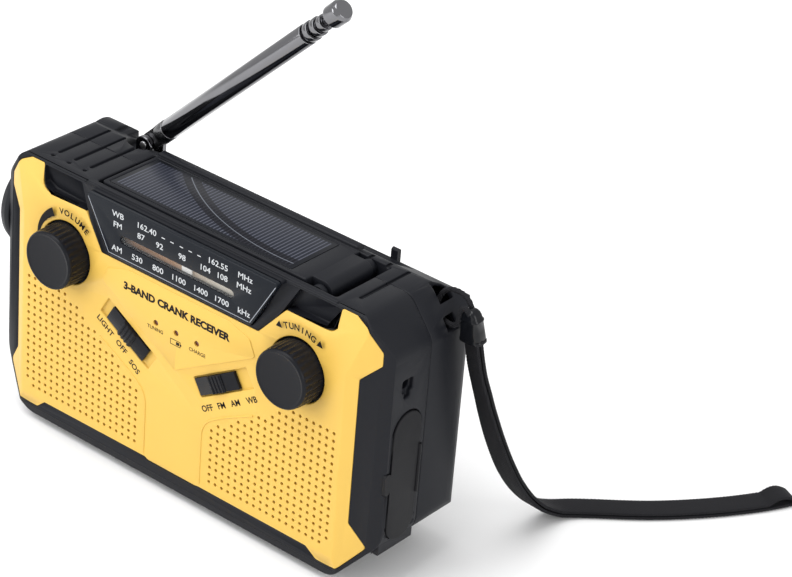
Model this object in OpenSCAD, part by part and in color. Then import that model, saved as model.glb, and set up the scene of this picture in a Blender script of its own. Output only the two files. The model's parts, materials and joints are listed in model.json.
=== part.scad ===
// Portable emergency radio: crank, solar flap, torch, telescopic aerial and wrist strap.
// Drawn with X across the front, Y from the front panel to the back and Z up. place() then moves
// the whole radio so that its origin is under the middle of the object, on the surface it stands on.

/* [Case] */
// Width of the case across its side walls
case_w = 149.5; // [146:0.5:152]
// Height of the shoulders above the standing surface
case_top = 89.5; // [89:0.1:90.5]
// Height of the case's underside above the standing surface
case_bottom = 2.3; // [2:0.1:2.6]
// Depth at which the front shell meets the rear shell
seam_y = 21.6; // [21.2:0.1:22]
// Depth of the case from front plane to rear face
case_d = 44; // [44:0.1:45]
// Wall thickness of the two shells
wall = 2.2; // [2:0.1:2.4]

/* [Front panel] */
// Thickness of the coloured front panel
panel_t = 1.8; // [1.5:0.1:2]
// Gap between the panel and the pocket that it sits in
panel_gap = 0.15; // [0.1:0.05:0.3]
// Distance between neighbouring grille holes
grille_pitch = 2.5; // [2.5:0.1:2.6]
// Diameter of a grille hole
grille_hole_d = 1.1; // [0.8:0.1:1.4]

/* [Knobs and switches] */
// Distance of each knob's axis from the middle of the radio
knob_x = 45.2; // [44.5:0.1:45.5]
// Height of the knobs' axes
knob_z = 64.6; // [64.2:0.1:65]
// Radius of a knob at its foot
knob_r = 9.5; // [9.2:0.1:10]
// How far a knob stands in front of the panel
knob_out = 7.3; // [6:0.1:7.5]
// Radius of a control shaft
shaft_r = 3; // [2.8:0.1:3]
// Length of a switch's slider
slider_len = 17; // [16:0.5:17.5]
// Width of a switch's slider
slider_w = 5.4; // [5:0.1:5.6]

/* [Solar flap] */
// Half of the solar flap's width
flap_hw = 36.4; // [36:0.1:36.6]
// Distance of the flap's hinge pin from the middle of the radio
hinge_x = 45.5; // [45:0.1:46]
// Height of the flap's hinge pin
hinge_z = 86.6; // [86.4:0.1:86.8]
// Radius of the flap's hinge pin
hinge_pin_r = 1.2; // [1:0.1:1.3]

/* [Aerial] */
// Angle of the aerial above level at rest
aerial_tilt = 44; // [30:1:60]
// Outer radius of the widest aerial tube
tube_r = 3.2; // [3.1:0.05:3.25]
// Height of the aerial's tilt pivot
aerial_z = 88.5; // [88.3:0.1:88.7]

/* [Crank] */
// Distance of the crank's axis from the middle of the radio
crank_x = 34; // [33.5:0.5:34.5]
// Height of the crank's axis
crank_z = 44; // [43.5:0.5:44.5]
// Distance from the crank's axis to the grip's fold pin
crank_reach = 29; // [28:0.5:29.5]
// Tooth size (module) of the crank gears
gear_module = 0.8; // [0.78:0.01:0.82]

/* [Wrist strap] */
// Width of the flat webbing
strap_w = 7.5; // [6:0.5:8]
// Thickness of the doubled webbing
strap_t = 2.8; // [2.4:0.1:3]
// Diameter of the thin cord through the strap eyelet
strap_cord_d = 1.6; // [1.4:0.1:1.7]

/* [Hidden] */

case_black = "#2b2e33";
knob_grey = "#3a3d42";
panel_yellow = "#fcd269";
metal = "#c4c6c9";

// The middle of the object's box, without the strap, in the drawing's own axes
middle_x = -1.85;
middle_y = 20.6;

half_w = case_w / 2;
bevel_x = 62.5;
side_slope = 0.5;
running = 0.05;
bay_x0 = -38;
bay_x1 = 53;
bay_y0 = 5.4;
bay_y1 = 29.1;
bay_floor = 81;
tray_bottom = 78.8;
groove_floor = 84.3;
groove_y = 32.2;
groove_hx = 51;
aerial_x = -46;
aerial_y = 36;
dish_y = 39;
slope_y = 31;
slope_z = 82.3;
dish_r = 36;
torch_y = 21;
torch_z = 62.5;
gear_teeth = 40;
pinion_teeth = 10;
gear_r = gear_module * gear_teeth / 2;
pinion_r = gear_module * pinion_teeth / 2;
gear_distance = gear_r + pinion_r + 0.3;
// Each switch: middle of its slider at rest, slope, and how far its channel's middle lies further on
light_slot = [-19, 48.4, -30.5, 0];
band_slot = [16.4, 47.3, 31, 2.6];
channel_len = 22.8;
channel_w = 6.4;
channel_depth = 1;
grille_x = 15;
grille_z = 13.25;
title_pad = rounded(both([[0, 44.6, 0], [30, 62, 1], [27.6, 67, 1.5], [20, 69.6, 0]]), 3);
pointer_x = 1.4;
pointer_z = 78.4;
screw_places = [[-67.5, 17], [67.5, 17], [-60, 78.5], [60, 78.5]];

// Route of the thin strap cord, from the ferrule through the two eyelet holes and back
cord_route = [[79.6, 32.5, 84.4], [78.8, 32.6, 86.6], [77.2, 32.8, 88.2], [74.7, 33.1, 88.9],
  [71.6, 33.5, 88.5], [69, 33.6, 87.2], [67.6, 33.2, 85.1], [67.5, 32.4, 82.7], [68.9, 31.2, 80.6],
  [71.9, 30.7, 79.7], [74.6, 30.5, 79.7], [76.4, 30.3, 81.1], [76.9, 30.2, 83.6],
  [77.4, 30.1, 85.8], [78.6, 30.1, 86.7], [79.7, 30.3, 85.9], [80.1, 30.6, 84.4]];
// Route of the doubled webbing, from the ferrule down to the surface and along it
strap_route = [[80.2, 32.9, 77.4], [81, 35, 67], [81.8, 37.4, 59], [82.6, 40.4, 50],
  [83.2, 44, 41], [83.6, 48.6, 31.6], [83.8, 54.2, 22.4], [84, 60.8, 14], [84.4, 68, 7.2],
  [85.6, 75.2, 3], [88.6, 81, 1.7], [93.4, 86, 1.5], [99.4, 91.4, 1.5], [105.6, 97.4, 1.5],
  [111.6, 104.2, 1.5], [117.4, 111.6, 1.5], [122.8, 119.4, 1.5], [127.6, 127.4, 1.5],
  [131.4, 134.6, 1.5]];

function unit(v) = v / norm(v);

// The arc that rounds the corner at b, between a and c
function corner(a, b, c, r, n) =
  let (u = unit(a - b), w = unit(c - b), half = acos(u * w) / 2,
       p = b + u * r / tan(half), q = b + w * r / tan(half),
       o = b + unit(u + w) * r / sin(half),
       s = atan2(p.y - o.y, p.x - o.x), e = atan2(q.y - o.y, q.x - o.x),
       turn = e - s > 180 ? e - s - 360 : e - s < -180 ? e - s + 360 : e - s)
  [for (i = [0:n]) o + r * [cos(s + turn * i / n), sin(s + turn * i / n)]];

// A closed outline, each corner given as [x, y, radius]
function rounded(p, n = 5) = let (m = len(p)) [for (i = [0:m - 1])
  let (a = p[(i + m - 1) % m], b = p[i], c = p[(i + 1) % m])
  each (b[2] == 0 ? [[b.x, b.y]] : corner([a.x, a.y], [b.x, b.y], [c.x, c.y], b[2], n))];

// The right half of an outline and its mirror image
function both(right) = concat(right, [for (i = [len(right) - 1:-1:0])
  [-right[i].x, right[i].y, right[i][2]]]);

// An anticlockwise outline moved inwards by d
function inset(p, d) = let (m = len(p)) [for (i = [0:m - 1])
  let (u = unit(p[i] - p[(i + m - 1) % m]), w = unit(p[(i + 1) % m] - p[i]),
       n1 = [u.y, -u.x], n2 = [w.y, -w.x])
  p[i] - (n1 + n2) * d / (1 + n1 * n2)];

// The teeth of a spur gear, in the gear's plane
function gear_outline(teeth, r, phase = 0) = [for (i = [0:teeth - 1])
  let (pitch = 360 / teeth, a = i * pitch + phase)
  each [for (k = [[-0.27, -1.1], [-0.1, 0.9], [0.1, 0.9], [0.27, -1.1]])
    (r + k[1] * gear_module) * [cos(a + k[0] * pitch), sin(a + k[0] * pitch)]]];

// The rings of a tube along a route: across is the half width sideways, up the half height
function side_dir(t) = unit(cross(t, [0, 0, 1]));
function tangent(p, i) = unit(p[min(i + 1, len(p) - 1)] - p[max(i - 1, 0)]);
function ring(p, i, across, up) = let (t = tangent(p, i), s = side_dir(t), n = cross(s, t))
  [for (k = [0:7]) p[i] + s * across * cos(k * 45 + 22.5) + n * up * sin(k * 45 + 22.5)];
// A smooth curve through the points of a route, n steps between each two
function smooth(p, n) = let (m = len(p)) concat([for (i = [0:m - 2], k = [0:n - 1])
  let (a = p[max(i - 1, 0)], b = p[i], c = p[i + 1], d = p[min(i + 2, m - 1)], t = k / n)
  0.5 * (2 * b + (c - a) * t + (2 * a - 5 * b + 4 * c - d) * t * t
    + (3 * b - a - 3 * c + d) * t * t * t)], [p[m - 1]]);

module place() { translate([-middle_x, -middle_y, 0]) children(); }

module box(x0, x1, y0, y1, z0, z1) { translate([x0, y0, z0]) cube([x1 - x0, y1 - y0, z1 - z0]); }

// A front-view outline pushed through from y0 to y1
module through_y(points, y0, y1) {
  translate([0, y1, 0]) rotate([90, 0, 0]) linear_extrude(y1 - y0) polygon(points);
}

// A rod along Y, X or Z
module rod_y(x, z, r, y0, y1) {
  translate([x, y1, z]) rotate([90, 0, 0]) cylinder(h = y1 - y0, r = r, $fn = 48);
}
module rod_x(y, z, r, x0, x1) {
  translate([x0, y, z]) rotate([0, 90, 0]) cylinder(h = x1 - x0, r = r, $fn = 48);
}
module rod_z(x, y, r, z0, z1) { translate([x, y, z0]) cylinder(h = z1 - z0, r = r, $fn = 48); }

// A slot with round ends in the front, given by its middle and its slope
module slot_y(s, length, width, y0, y1) {
  translate([s[0], 0, s[1]]) rotate([0, -s[2], 0]) {
    box(-(length - width) / 2, (length - width) / 2, y0, y1, -width / 2, width / 2);
    for (e = [-1, 1]) rod_y(e * (length - width) / 2, 0, width / 2, y0, y1);
  }
}

module tube(p, across, up) {
  m = len(p);
  points = [for (i = [0:m - 1]) each ring(p, i, across, up)];
  sides = [for (i = [0:m - 2], k = [0:7]) each
    [[i * 8 + k, i * 8 + (k + 1) % 8, (i + 1) * 8 + (k + 1) % 8],
     [i * 8 + k, (i + 1) * 8 + (k + 1) % 8, (i + 1) * 8 + k]]];
  caps = [[for (k = [7:-1:0]) k], [for (k = [0:7]) (m - 1) * 8 + k]];
  polyhedron(points, concat(sides, caps));
}

// ---- the outlines that several pieces share ----

case_outline = rounded(both([[61.5, case_bottom, 7], [half_w, 17.5, 8], [half_w, 78.5, 6],
  [66, case_top, 6]]));

panel_outline = rounded(both([[9.5, 8.9, 0], [10.5, 9.4, 0], [52.6, 9.4, 0.6], [56.2, 6.3, 1.5],
  [63.6, 6.3, 3], [71.2, 15.6, 1.5], [66.1, 23, 1.5], [66.1, 70.2, 1.2], [71.6, 75.6, 1],
  [71.6, 79.8, 2], [66.8, 86.4, 3], [62.6, 88.6, 1.2], [57.2, 88.6, 0.8], [56.6, 80.7, 3],
  [38.6, 80.7, 1.5], [30.4, 70.9, 1.2]]), 4);

// Trapezium of the dial, smaller by d all round
function dial_outline(d) = rounded([[28 - d, 71.4 + d, 1.6], [37.3 - d, 88.8 - d, 0.8],
  [-37.3 + d, 88.8 - d, 0.8], [-28 + d, 71.4 + d, 1.6]], 4);

// The space behind the front surface, moved back by d
module front_envelope(d = 0) {
  translate([0, d, 0]) intersection() {
    linear_extrude(100) polygon([[-half_w - 1, (half_w + 1 - bevel_x) * side_slope],
      [-bevel_x, 0], [bevel_x, 0], [half_w + 1, (half_w + 1 - bevel_x) * side_slope],
      [half_w + 1, 70], [-half_w - 1, 70]]);
    translate([-80, 0, 0]) rotate([90, 0, 90]) linear_extrude(160)
      polygon(rounded([[1.6, 0, 0], [0, 10, 0], [0, 71, 0], [3.3, case_top, 1.5],
        [70, case_top, 0], [70, 0, 0]], 3));
  }
}

// The space in front of the rear surface, moved forwards by d
module rear_envelope(d = 0) {
  translate([0, -d, 0]) intersection() {
    linear_extrude(100) polygon(rounded([[-half_w, 0, 0], [half_w, 0, 0],
      [half_w, case_d, 9], [-half_w, case_d, 9]], 6));
    translate([-80, 0, 0]) rotate([90, 0, 90]) linear_extrude(160)
      polygon(rounded([[0, -1, 0], [37, -1, 0], [case_d, 9, 5], [case_d, slope_z, 5], [slope_y, case_top, 4],
        [0, case_top, 0]], 5));
  }
}

// The three short grooves across each shoulder
module shoulder_grooves() {
  for (s = [-1, 1], x = [45, 51.5, 58])
    box(s * x - 0.6, s * x + 0.6, 9.5, 31, case_top - 0.9, case_top + 1);
  for (x = [45, 51.5, 58]) box(-x - 0.6, -x + 0.6, 6.6, 7.8, case_top - 0.9, case_top + 1);
}

// The round seat of the torch in the left side wall
module torch_seat(d = 0) { rod_x(torch_y, torch_z, 13.6 + d, -half_w - 2, -60); }

// ---- the shells ----

module front_shell() color(case_black) place() difference() {
  union() {
    difference() {
      intersection() {
        through_y(case_outline, -1, seam_y);
        front_envelope();
      }
      intersection() {
        through_y(inset(case_outline, wall), 0, seam_y + 1);
        front_envelope(panel_t + wall);
      }
    }
    // the tray that the flap closes onto
    intersection() {
      through_y(case_outline, -1, seam_y);
      box(bay_x0 - wall, bay_x1 + wall, 3.4, seam_y, tray_bottom, case_top);
    }
    through_y(dial_outline(0), 1.5, bay_y0);
    // pad that carries the charging sockets
    box(69.6, half_w - 1, 6.5, seam_y, 13, 72.6);
    for (p = screw_places) rod_y(p[0], p[1], 3.6, 8, seam_y);
    for (s = [-1, 1]) box(s * 68 - 5, s * 68 + 5, 8, seam_y, 15.8, 18.2);
  }
  // pocket of the front panel
  difference() {
    through_y(panel_outline, -2, 12);
    front_envelope(panel_t + 0.1);
  }
  through_y(dial_outline(0), -2, 1.5);
  // sunk corners beside the dial
  for (s = [-1, 1]) through_y(rounded([[s * 33.4, 72.4, 0], [s * 42, 88.2, 0.5],
    [s * 57, 88.2, 0.5], [s * 56.4, 82.6, 0], [s * 53.2, 80.9, 0], [s * 39, 80.9, 0]], 3), -2, 4.6);
  // bay under the flap
  box(bay_x0, bay_x1, bay_y0, seam_y + 1, bay_floor, 100);
  // hollow behind the dial and the way in for the pointer's arm
  box(-25, 24, 1.4, 4.5, 73.6, 81.2);
  box(-25, 24, 4, 12, 73.6, 76.2);
  for (s = [-1, 1]) {
    rod_y(s * knob_x, knob_z, 4.2, -2, 8);
    box(s * 36 - 21, s * 36 + 21, 0, 5, 16, 40);
  }
  for (s = [light_slot, band_slot]) slot_y(further(s), 11.2, 3.2, -2, 6);
  for (x = [-8, 0, 8]) rod_y(x, 57, 0.95, -2, 6);
  shoulder_grooves();
  torch_seat();
  // recess of the port cover, its two sockets and the headphone hole
  hull() for (z = [22.8, 52.8])
    rod_x(13.75, z, 6.25, half_w - 2.4, half_w + 1);
  hull() for (z = [35.4, 40]) rod_x(6.6, z, 1.35, half_w - 0.7, half_w + 1);
  rod_z(half_w + 0.4, 19.75, 0.55, 29.8, 46.2);
  box(68, half_w, 10.6, 16.9, 22, 35.8);
  box(68, half_w, 11.6, 15.9, 41.6, 51.2);
  box(73.2, half_w + 1, 10, 14.6, 66, 69.8);
  box(73.2, half_w + 1, 11, 13.6, 63.8, 66.1);
  rod_x(12.3, 67.9, 1.8, 60, 80);
  for (p = screw_places) rod_y(p[0], p[1], 1.45, 12, seam_y + 1);
}

module rear_shell() color(case_black) place() difference() {
  union() {
    difference() {
      intersection() {
        through_y(case_outline, seam_y, case_d);
        rear_envelope();
      }
      intersection() {
        through_y(inset(case_outline, wall), seam_y - 1, case_d);
        rear_envelope(wall);
      }
    }
    intersection() {
      through_y(case_outline, seam_y, case_d);
      rear_envelope();
      union() {
        box(-groove_hx - 3, bay_x1 + wall, seam_y, case_d, tray_bottom, case_top);
        rod_y(crank_x, crank_z, dish_r + 2, 36.8, case_d);
        box(-66, -6.5, 39.6, case_d, 4, 52);
        box(-63, -8.5, 28.6, case_d, 11.6, 49.4);
        for (p = screw_places) rod_y(p[0], p[1], 4, seam_y, case_d);
        for (s = [-1, 1]) box(s * 68 - 5, s * 68 + 5, seam_y, case_d - 3, 15.8, 18.2);
        // cradle of the rechargeable cell
        for (x = [-50, -15]) box(x - 1, x + 1, 31, case_d, 54.6, 71.4);
      }
    }
    // rail behind the flap, its end blocks, the guard beside the aerial and the aerial clip
    box(-37, 40, 29.4, groove_y, case_top - 1, 90.6);
    intersection() {
      union() {
        box(-68, -60, 32, 43.2, 78, 92);
        box(-60.5, -56.8, 32, 42, 78, 86.4);
      }
      rod_x(37.4, 81.4, 6.4, -70, -50);
    }
    box(43.8, 46.2, 40, 41.6, groove_floor - 3, 87.2);
    rod_x(40.8, 87.2, 0.8, 43.8, 46.2);
  }
  box(bay_x0, bay_x1, seam_y - 1, bay_y1, bay_floor, 100);
  difference() {
    box(-groove_hx, groove_hx + 1.4, groove_y, case_d + 1, groove_floor, 100);
    box(43.8, 46.2, 40, 41.6, groove_floor - 3, 87.2);
    rod_x(40.8, 87.2, 0.8, 43.8, 46.2);
  }
  rod_z(aerial_x, aerial_y, 7.5, groove_floor, 100);
  rod_z(aerial_x, aerial_y, 2.5 + running, 70, 90);
  rod_x(31, 63, 7.25, -57, -7);
  shoulder_grooves();
  torch_seat();
  // dish and bore of the crank
  rod_y(crank_x, crank_z, dish_r, dish_y, case_d + 1);
  rod_y(crank_x, crank_z, 3 + running, 30, case_d);
  // the cells' compartment and the door's track, open at the bottom
  box(-61, -10.5, 30.6, case_d, 13.6, 47.4);
  box(-63.8, -8.2, 42, case_d + 1, 0, 49.8);
  // the two eyelet holes of the strap, on either side of the bar that holds it
  box(65, 69.8, 30.4, 36, 81, 100);
  box(65, half_w + 1, 28.8, 33.2, 77.6, 81.5);
  for (p = screw_places) {
    rod_y(p[0], p[1], 1.5, 15, case_d + 1);
    rod_y(p[0], p[1], 3.1, 38, case_d + 1);
  }
}

// The middle of a switch's channel
function further(s) = [s[0] + s[3] * cos(s[2]), s[1] + s[3] * sin(s[2]), s[2]];

module front_panel() color(panel_yellow) place() difference() {
  union() {
    difference() {
      intersection() {
        through_y(inset(panel_outline, panel_gap), -1, 10);
        front_envelope();
      }
      front_envelope(panel_t);
    }
    through_y(title_pad, -0.3, 0.5);
  }
  for (s = [-1, 1]) rod_y(s * knob_x, knob_z, knob_r + 0.5, -2, 4);
  for (s = [light_slot, band_slot]) {
    slot_y(further(s), 11.2, 3.2, -2, 4);
    translate([further(s)[0], 0, further(s)[1]]) rotate([0, -s[2], 0])
      box(-channel_len / 2, channel_len / 2, -2, channel_depth, -channel_w / 2, channel_w / 2);
  }
  for (x = [-8, 0, 8]) rod_y(x, 57, 0.95, -2, 4);
  for (s = [-1, 1]) translate([0, 4, 0]) rotate([90, 0, 0]) linear_extrude(6)
    for (k = [0:15], i = [grille_start(k):18]) if (k > 0 || i < 18)
      translate([s * (grille_x + grille_pitch * i), grille_z + grille_pitch * k])
        circle(d = grille_hole_d, $fn = 16);
}

// The first column of a row of grille holes: the upper rows start further out
function grille_start(k) = k < 8 ? 0 : floor(1.5 * (k - 7));

module grille_cloth() color("#3a3226") place() for (s = [-1, 1])
  box(s * 36 - 20.9, s * 36 + 20.9, panel_t + 0.15, panel_t + 0.9, 16.1, 39.9);

// ---- the dial ----

module dial_window() color("#1c1f24") place() difference() {
  through_y(dial_outline(0.2), -0.4, 1.4);
  slot_y([-1, pointer_z, 0], 44, 2.8, -2, 2);
}

module dial_lens() color("#d8d2c4", 0.5) place() slot_y([-1, pointer_z, 0], 43.96, 2.76, 0, 1.2);

module dial_backing() color("#b48a5c") place() box(-24.8, 23.8, 3.6, 4.4, 76.5, 81);

module tuning_pointer() color("#f2f2ee") place() {
  box(pointer_x - 2, pointer_x + 2, 2, 3.2, 75, 79.9);
  box(pointer_x - 2, pointer_x + 2, 3.1, 6.4, 74.1, 75.9);
  difference() {
    box(pointer_x - 3, pointer_x + 3, 6.4, 10, 73, 77);
    rod_x(8.2, 75, 1 + running, -60, 60);
  }
}

module pointer_guide() color(metal) place() {
  rod_x(8.2, 75, 1, -30, 30);
  for (s = [-1, 1]) difference() {
    box(s * 30 - 1, s * 30 + 1, 5.6, 10.8, 72, 77.8);
    rod_x(8.2, 75, 0.99, -60, 60);
  }
}

module indicator_pipes() color("#b5481f") place() for (x = [-8, 0, 8]) {
  rod_y(x, 57, 0.9, 0.2, 6);
  rod_y(x, 57, 1.6, 6, 7.2);
}

// ---- knobs and switches ----

module knob(x) {
  difference() {
    translate([x, 0, knob_z]) rotate([90, 0, 0]) rotate_extrude($fn = 96) polygon([[0, -0.6],
      [knob_r, -0.6], [knob_r, 0], [knob_r - 0.5, knob_out - 1.1], [knob_r - 1.4, knob_out],
      [0, knob_out]]);
    rod_y(x, knob_z, shaft_r, -4.6, 2);
    for (a = [0:12:348]) translate([x, 0, knob_z]) rotate([0, a, 0])
      rod_y(knob_r + 0.15, 0, 0.5, -knob_out + 1.1, 1);
  }
}

module volume_knob() color(knob_grey) place() knob(-knob_x);
module tuning_knob() color(knob_grey) place() knob(knob_x);

module control_shaft(x, y1) {
  difference() {
    rod_y(x, knob_z, shaft_r - 0.02, -4.6, y1);
    box(x - 4, x + 4, -5, -1, knob_z + 2, knob_z + 4);
  }
}
module volume_shaft() color(metal) place() {
  control_shaft(-knob_x, 10);
  rod_y(-knob_x, knob_z, 6, 8, 9.5);
}
module tuning_shaft() color(metal) place() {
  control_shaft(knob_x, 18);
  difference() {
    rod_y(knob_x, knob_z, 7, 18, 20);
    for (a = [0:90:270]) translate([knob_x, 0, knob_z]) rotate([0, a, 0])
      rod_y(4.6, 0, 1.2, 17, 21);
  }
}

module volume_control() color("#5a5d60") place() difference() {
  union() {
    rod_y(-knob_x, knob_z, 8.4, 6.5, 12);
    rod_y(-knob_x, knob_z, 4.1, 1.9, 6.5);
    for (x = [-5, 0, 5]) box(-knob_x + x - 0.6, -knob_x + x + 0.6, 9, 10, 50.5, 57.5);
  }
  rod_y(-knob_x, knob_z, shaft_r + running - 0.02, 0, 13);
  rod_y(-knob_x, knob_z, 6.3, 7.7, 9.8);
}

module tuning_capacitor() color("#d7d3c4") place() difference() {
  union() {
    box(knob_x - 10, knob_x + 10, 6, 16, knob_z - 10, knob_z + 8);
    rod_y(knob_x, knob_z, 4.1, 1.9, 6);
  }
  rod_y(knob_x, knob_z, shaft_r + running - 0.02, 0, 20);
}

// A thumb slider, with ribs across its top and a foot in the switch behind
module slider(s) {
  translate([s[0], 0, s[1]]) rotate([0, -s[2], 0]) {
    box(-slider_len / 2, slider_len / 2, -0.2, channel_depth - 0.1, -slider_w / 2, slider_w / 2);
    box(-2.9, 2.9, -0.7, 0, -slider_w / 2, slider_w / 2);
    for (x = [-2.1:1.4:2.1]) box(x - 0.35, x + 0.35, -1, -0.6, -slider_w / 2, slider_w / 2);
    box(-1.2, 1.2, 0.8, 6.2, -1.2, 1.2);
  }
}
module light_slider() color(knob_grey) place() slider(light_slot);
module band_slider() color(knob_grey) place() slider(band_slot);

module switch_bodies() color("#8d9094") place() for (s = [light_slot, band_slot])
  translate([s[0], 0, s[1]]) rotate([0, -s[2], 0]) difference() {
    box(-9, 11.5, 4.4, 9, -4, 4);
    box(-7, 10, 4, 7, -1.5, 1.5);
  }

// ---- inside the case ----

module main_board() color("#2f6b3c") place() difference() {
  box(-56, 0, 17, 18.6, 10, 58);
  for (x = [-52, -4], z = [14, 54]) rod_y(x, z, 1.6, 16, 20);
}

module speaker() color("#4b4d50") place() difference() {
  union() {
    rod_y(37, 30, 19.5, 4.2, 6.4);
    translate([37, 6.4, 30]) rotate([-90, 0, 0]) cylinder(h = 6, r1 = 18, r2 = 10, $fn = 64);
    rod_y(37, 30, 10, 12.4, 17);
  }
  translate([37, 4.1, 30]) rotate([-90, 0, 0]) cylinder(h = 6, r1 = 17, r2 = 5, $fn = 64);
}

module ferrite_aerial() color("#3b3a3c") place() {
  rod_x(15, 73.6, 4, -31, 31);
  for (s = [-1, 1]) difference() {
    box(s * 24 - 2, s * 24 + 2, 10.6, 20, 68.6, tray_bottom);
    rod_x(15, 73.6, 4, -60, 60);
  }
}

module rechargeable_cell() color("#3a67a8") place() {
  rod_x(31, 63, 7.2, -56, -8);
  rod_x(31, 63, 2.6, -8, -7);
}

module spare_cells() color("#9a9da1") place() for (z = [19.5, 30.5, 41.5]) {
  rod_x(36.4, z, 5.2, -57.5, -15);
  rod_x(36.4, z, 1.8, -15, -14);
}

module cell_contacts() color("#caa24a") place() for (z = [19.5, 30.5, 41.5]) {
  box(-61, -60.4, 32, 40.6, z - 4, z + 4);
  rod_x(36.4, z, 2.4, -60.4, -57.5);
  box(-11.1, -10.5, 32, 40.6, z - 4, z + 4);
  rod_x(36.4, z, 1.6, -14, -11.1);
}

module battery_door() color(case_black) place() {
  difference() {
    box(-63.5, -8.5, 42.3, 44, 11.4, 49.5);
    for (z = [36:2:44]) box(-42, -30, 43.5, 45, z, z + 0.9);
  }
}

module generator() color("#7d8084") place() difference() {
  union() {
    rod_y(crank_x - gear_distance, crank_z, 11, 12, 28);
    rod_y(crank_x - gear_distance, crank_z, 3, 28, 29.4);
    for (a = [45, 225]) translate([crank_x - gear_distance, 0, crank_z]) rotate([0, a, 0])
      rod_y(12.4, 0, 2.2, 26, 28);
  }
  rod_y(crank_x - gear_distance, crank_z, 1 + running, 20, 30);
}

module generator_pinion() color("#d9d4c6") place() {
  rod_y(crank_x - gear_distance, crank_z, 1, 22, 35.4);
  translate([crank_x - gear_distance, 0, crank_z])
    through_y(gear_outline(pinion_teeth, pinion_r, 180 / pinion_teeth), 31, 35);
}

// ---- the crank ----

module crank_gear() color("#d9d4c6") place() {
  translate([crank_x, 0, crank_z]) through_y(gear_outline(gear_teeth, gear_r), 31.5, 34.5);
  rod_y(crank_x, crank_z, 3, 29, 43);
}

module crank_arm() color(knob_grey) place() translate([crank_x, 0, crank_z]) difference() {
  union() {
    rod_y(0, 0, 8.6, 39.5, 46.4);
    box(-crank_reach - 3.2, 0, 39.8, 46.4, -7, 7);
  }
  box(-crank_reach - 5, -9, 38, 48, -4.7, 4.7);
  rod_z(-crank_reach, 43.6, 1.25, -8, 8);
  rod_y(0, 0, 3, 30, 43);
}

module grip_yoke() color(metal) place() translate([crank_x - crank_reach, 43.6, crank_z]) {
  rod_z(0, 0, 1.2, -6.8, 6.8);
  rod_z(0, 0, 3, -4.4, 4.4);
  rod_x(0, 0, 1.5, 2, 19.4);
}

module crank_grip() color(knob_grey) place() translate([crank_x - crank_reach, 43.6, crank_z])
  difference() {
    rod_x(0, 0, 4.2, 3.4, 19);
    rod_x(0, 0, 1.5 + running, 3, 20);
    for (x = [6:2.4:17]) translate([x, 0, 0]) rotate([0, 90, 0])
      rotate_extrude($fn = 48) polygon([[3.9, -0.4], [5, -0.6], [5, 0.6], [3.9, 0.4]]);
  }

// ---- the solar flap ----

module solar_frame() color(case_black) place() difference() {
  union() {
    box(-flap_hw, flap_hw + 5, 5.8, 28.8, 85.6, 90);
    box(-flap_hw - 1.2, -flap_hw + 1, 14, 20, 86.6, 88.6);
    // plate and barrel of the hinge
    box(flap_hw + 4, hinge_x, 8.6, 26.4, 86.4, 90);
    rod_y(hinge_x, hinge_z, 3.4, 8.6, 26.4);
  }
  box(-flap_hw + 1.4, flap_hw - 1.4, 7, 27.6, 88.6, 91);
  box(-flap_hw + 4, flap_hw - 4, 9, 26, 85, 87.2);
  rod_y(hinge_x, hinge_z, hinge_pin_r + running, 0, 40);
}

module solar_cell() color("#39414f") place()
  box(-flap_hw + 1.5, flap_hw - 1.5, 7.1, 27.5, 88.6, 89.9);

module reading_lamp_board() color("#e8e6dc") place() {
  box(-31, 31, 10, 25, 86.3, 87.2);
  for (x = [-25:10:25]) box(x - 1.5, x + 1.5, 16, 19, 85.9, 86.3);
}

module reading_lamp_lens() color("#eceff2", 0.6) place() difference() {
  box(-32.4, 32.4, 9, 26, 84.8, 85.8);
  box(-31.4, 31.4, 10, 25, 85.4, 86);
}

module hinge_pin() color(metal) place() {
  rod_y(hinge_x, hinge_z, hinge_pin_r, 6, 28.8);
  // the two ears of the case that hold the pin
  for (y = [6.2, 27]) difference() {
    union() {
      rod_y(hinge_x, hinge_z, 2.6, y, y + 1.8);
      box(hinge_x - 2.6, hinge_x + 2.6, y, y + 1.8, bay_floor, hinge_z);
    }
    rod_y(hinge_x, hinge_z, hinge_pin_r, y - 1, y + 3);
  }
}

// ---- the torch ----

module torch_turned(points) {
  translate([0, torch_y, torch_z]) rotate([0, -90, 0]) rotate_extrude($fn = 96) polygon(points);
}
module torch_bezel() color(case_black) place() torch_turned([[12.6, 62], [13.5, 62],
  [13.5, 74.8], [15.4, 74.8], [15.6, 76.4], [14.6, 79], [12.6, 79], [12.6, 77.9], [12.2, 77.9],
  [12.2, 77.6], [12.6, 77.6]]);
module torch_lens() color("#dfe6ea", 0.5) place() torch_turned([[0, 76.4], [12.5, 76.4],
  [12.5, 77.6], [0, 77.6]]);
module torch_reflector() color(metal) place() torch_turned([[3, 63], [5, 63], [12.5, 75.4],
  [12.5, 76.3], [11.9, 76.3], [4.2, 64], [3, 64]]);
module torch_led() color("#f3e6a8") place() torch_turned([[0, 60], [9, 60], [9, 62.9], [2.8, 62.9],
  [2.8, 65], [0, 65.8]]);

// ---- sockets on the right side ----

module port_cover() color("#26282c") place() difference() {
  union() {
    hull() for (z = [22.8, 52.8]) rod_x(13.75, z, 6, half_w - 2.2, half_w + 0.4);
    hull() for (z = [35.4, 40]) rod_x(6.6, z, 1.2, half_w - 1.2, half_w + 0.4);
    // bead of the living hinge
    rod_z(half_w + 0.4, 19.75, 0.5, 30, 46);
  }
  box(half_w - 3, half_w - 0.6, 0, 7.6, 30, 45);
}

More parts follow.
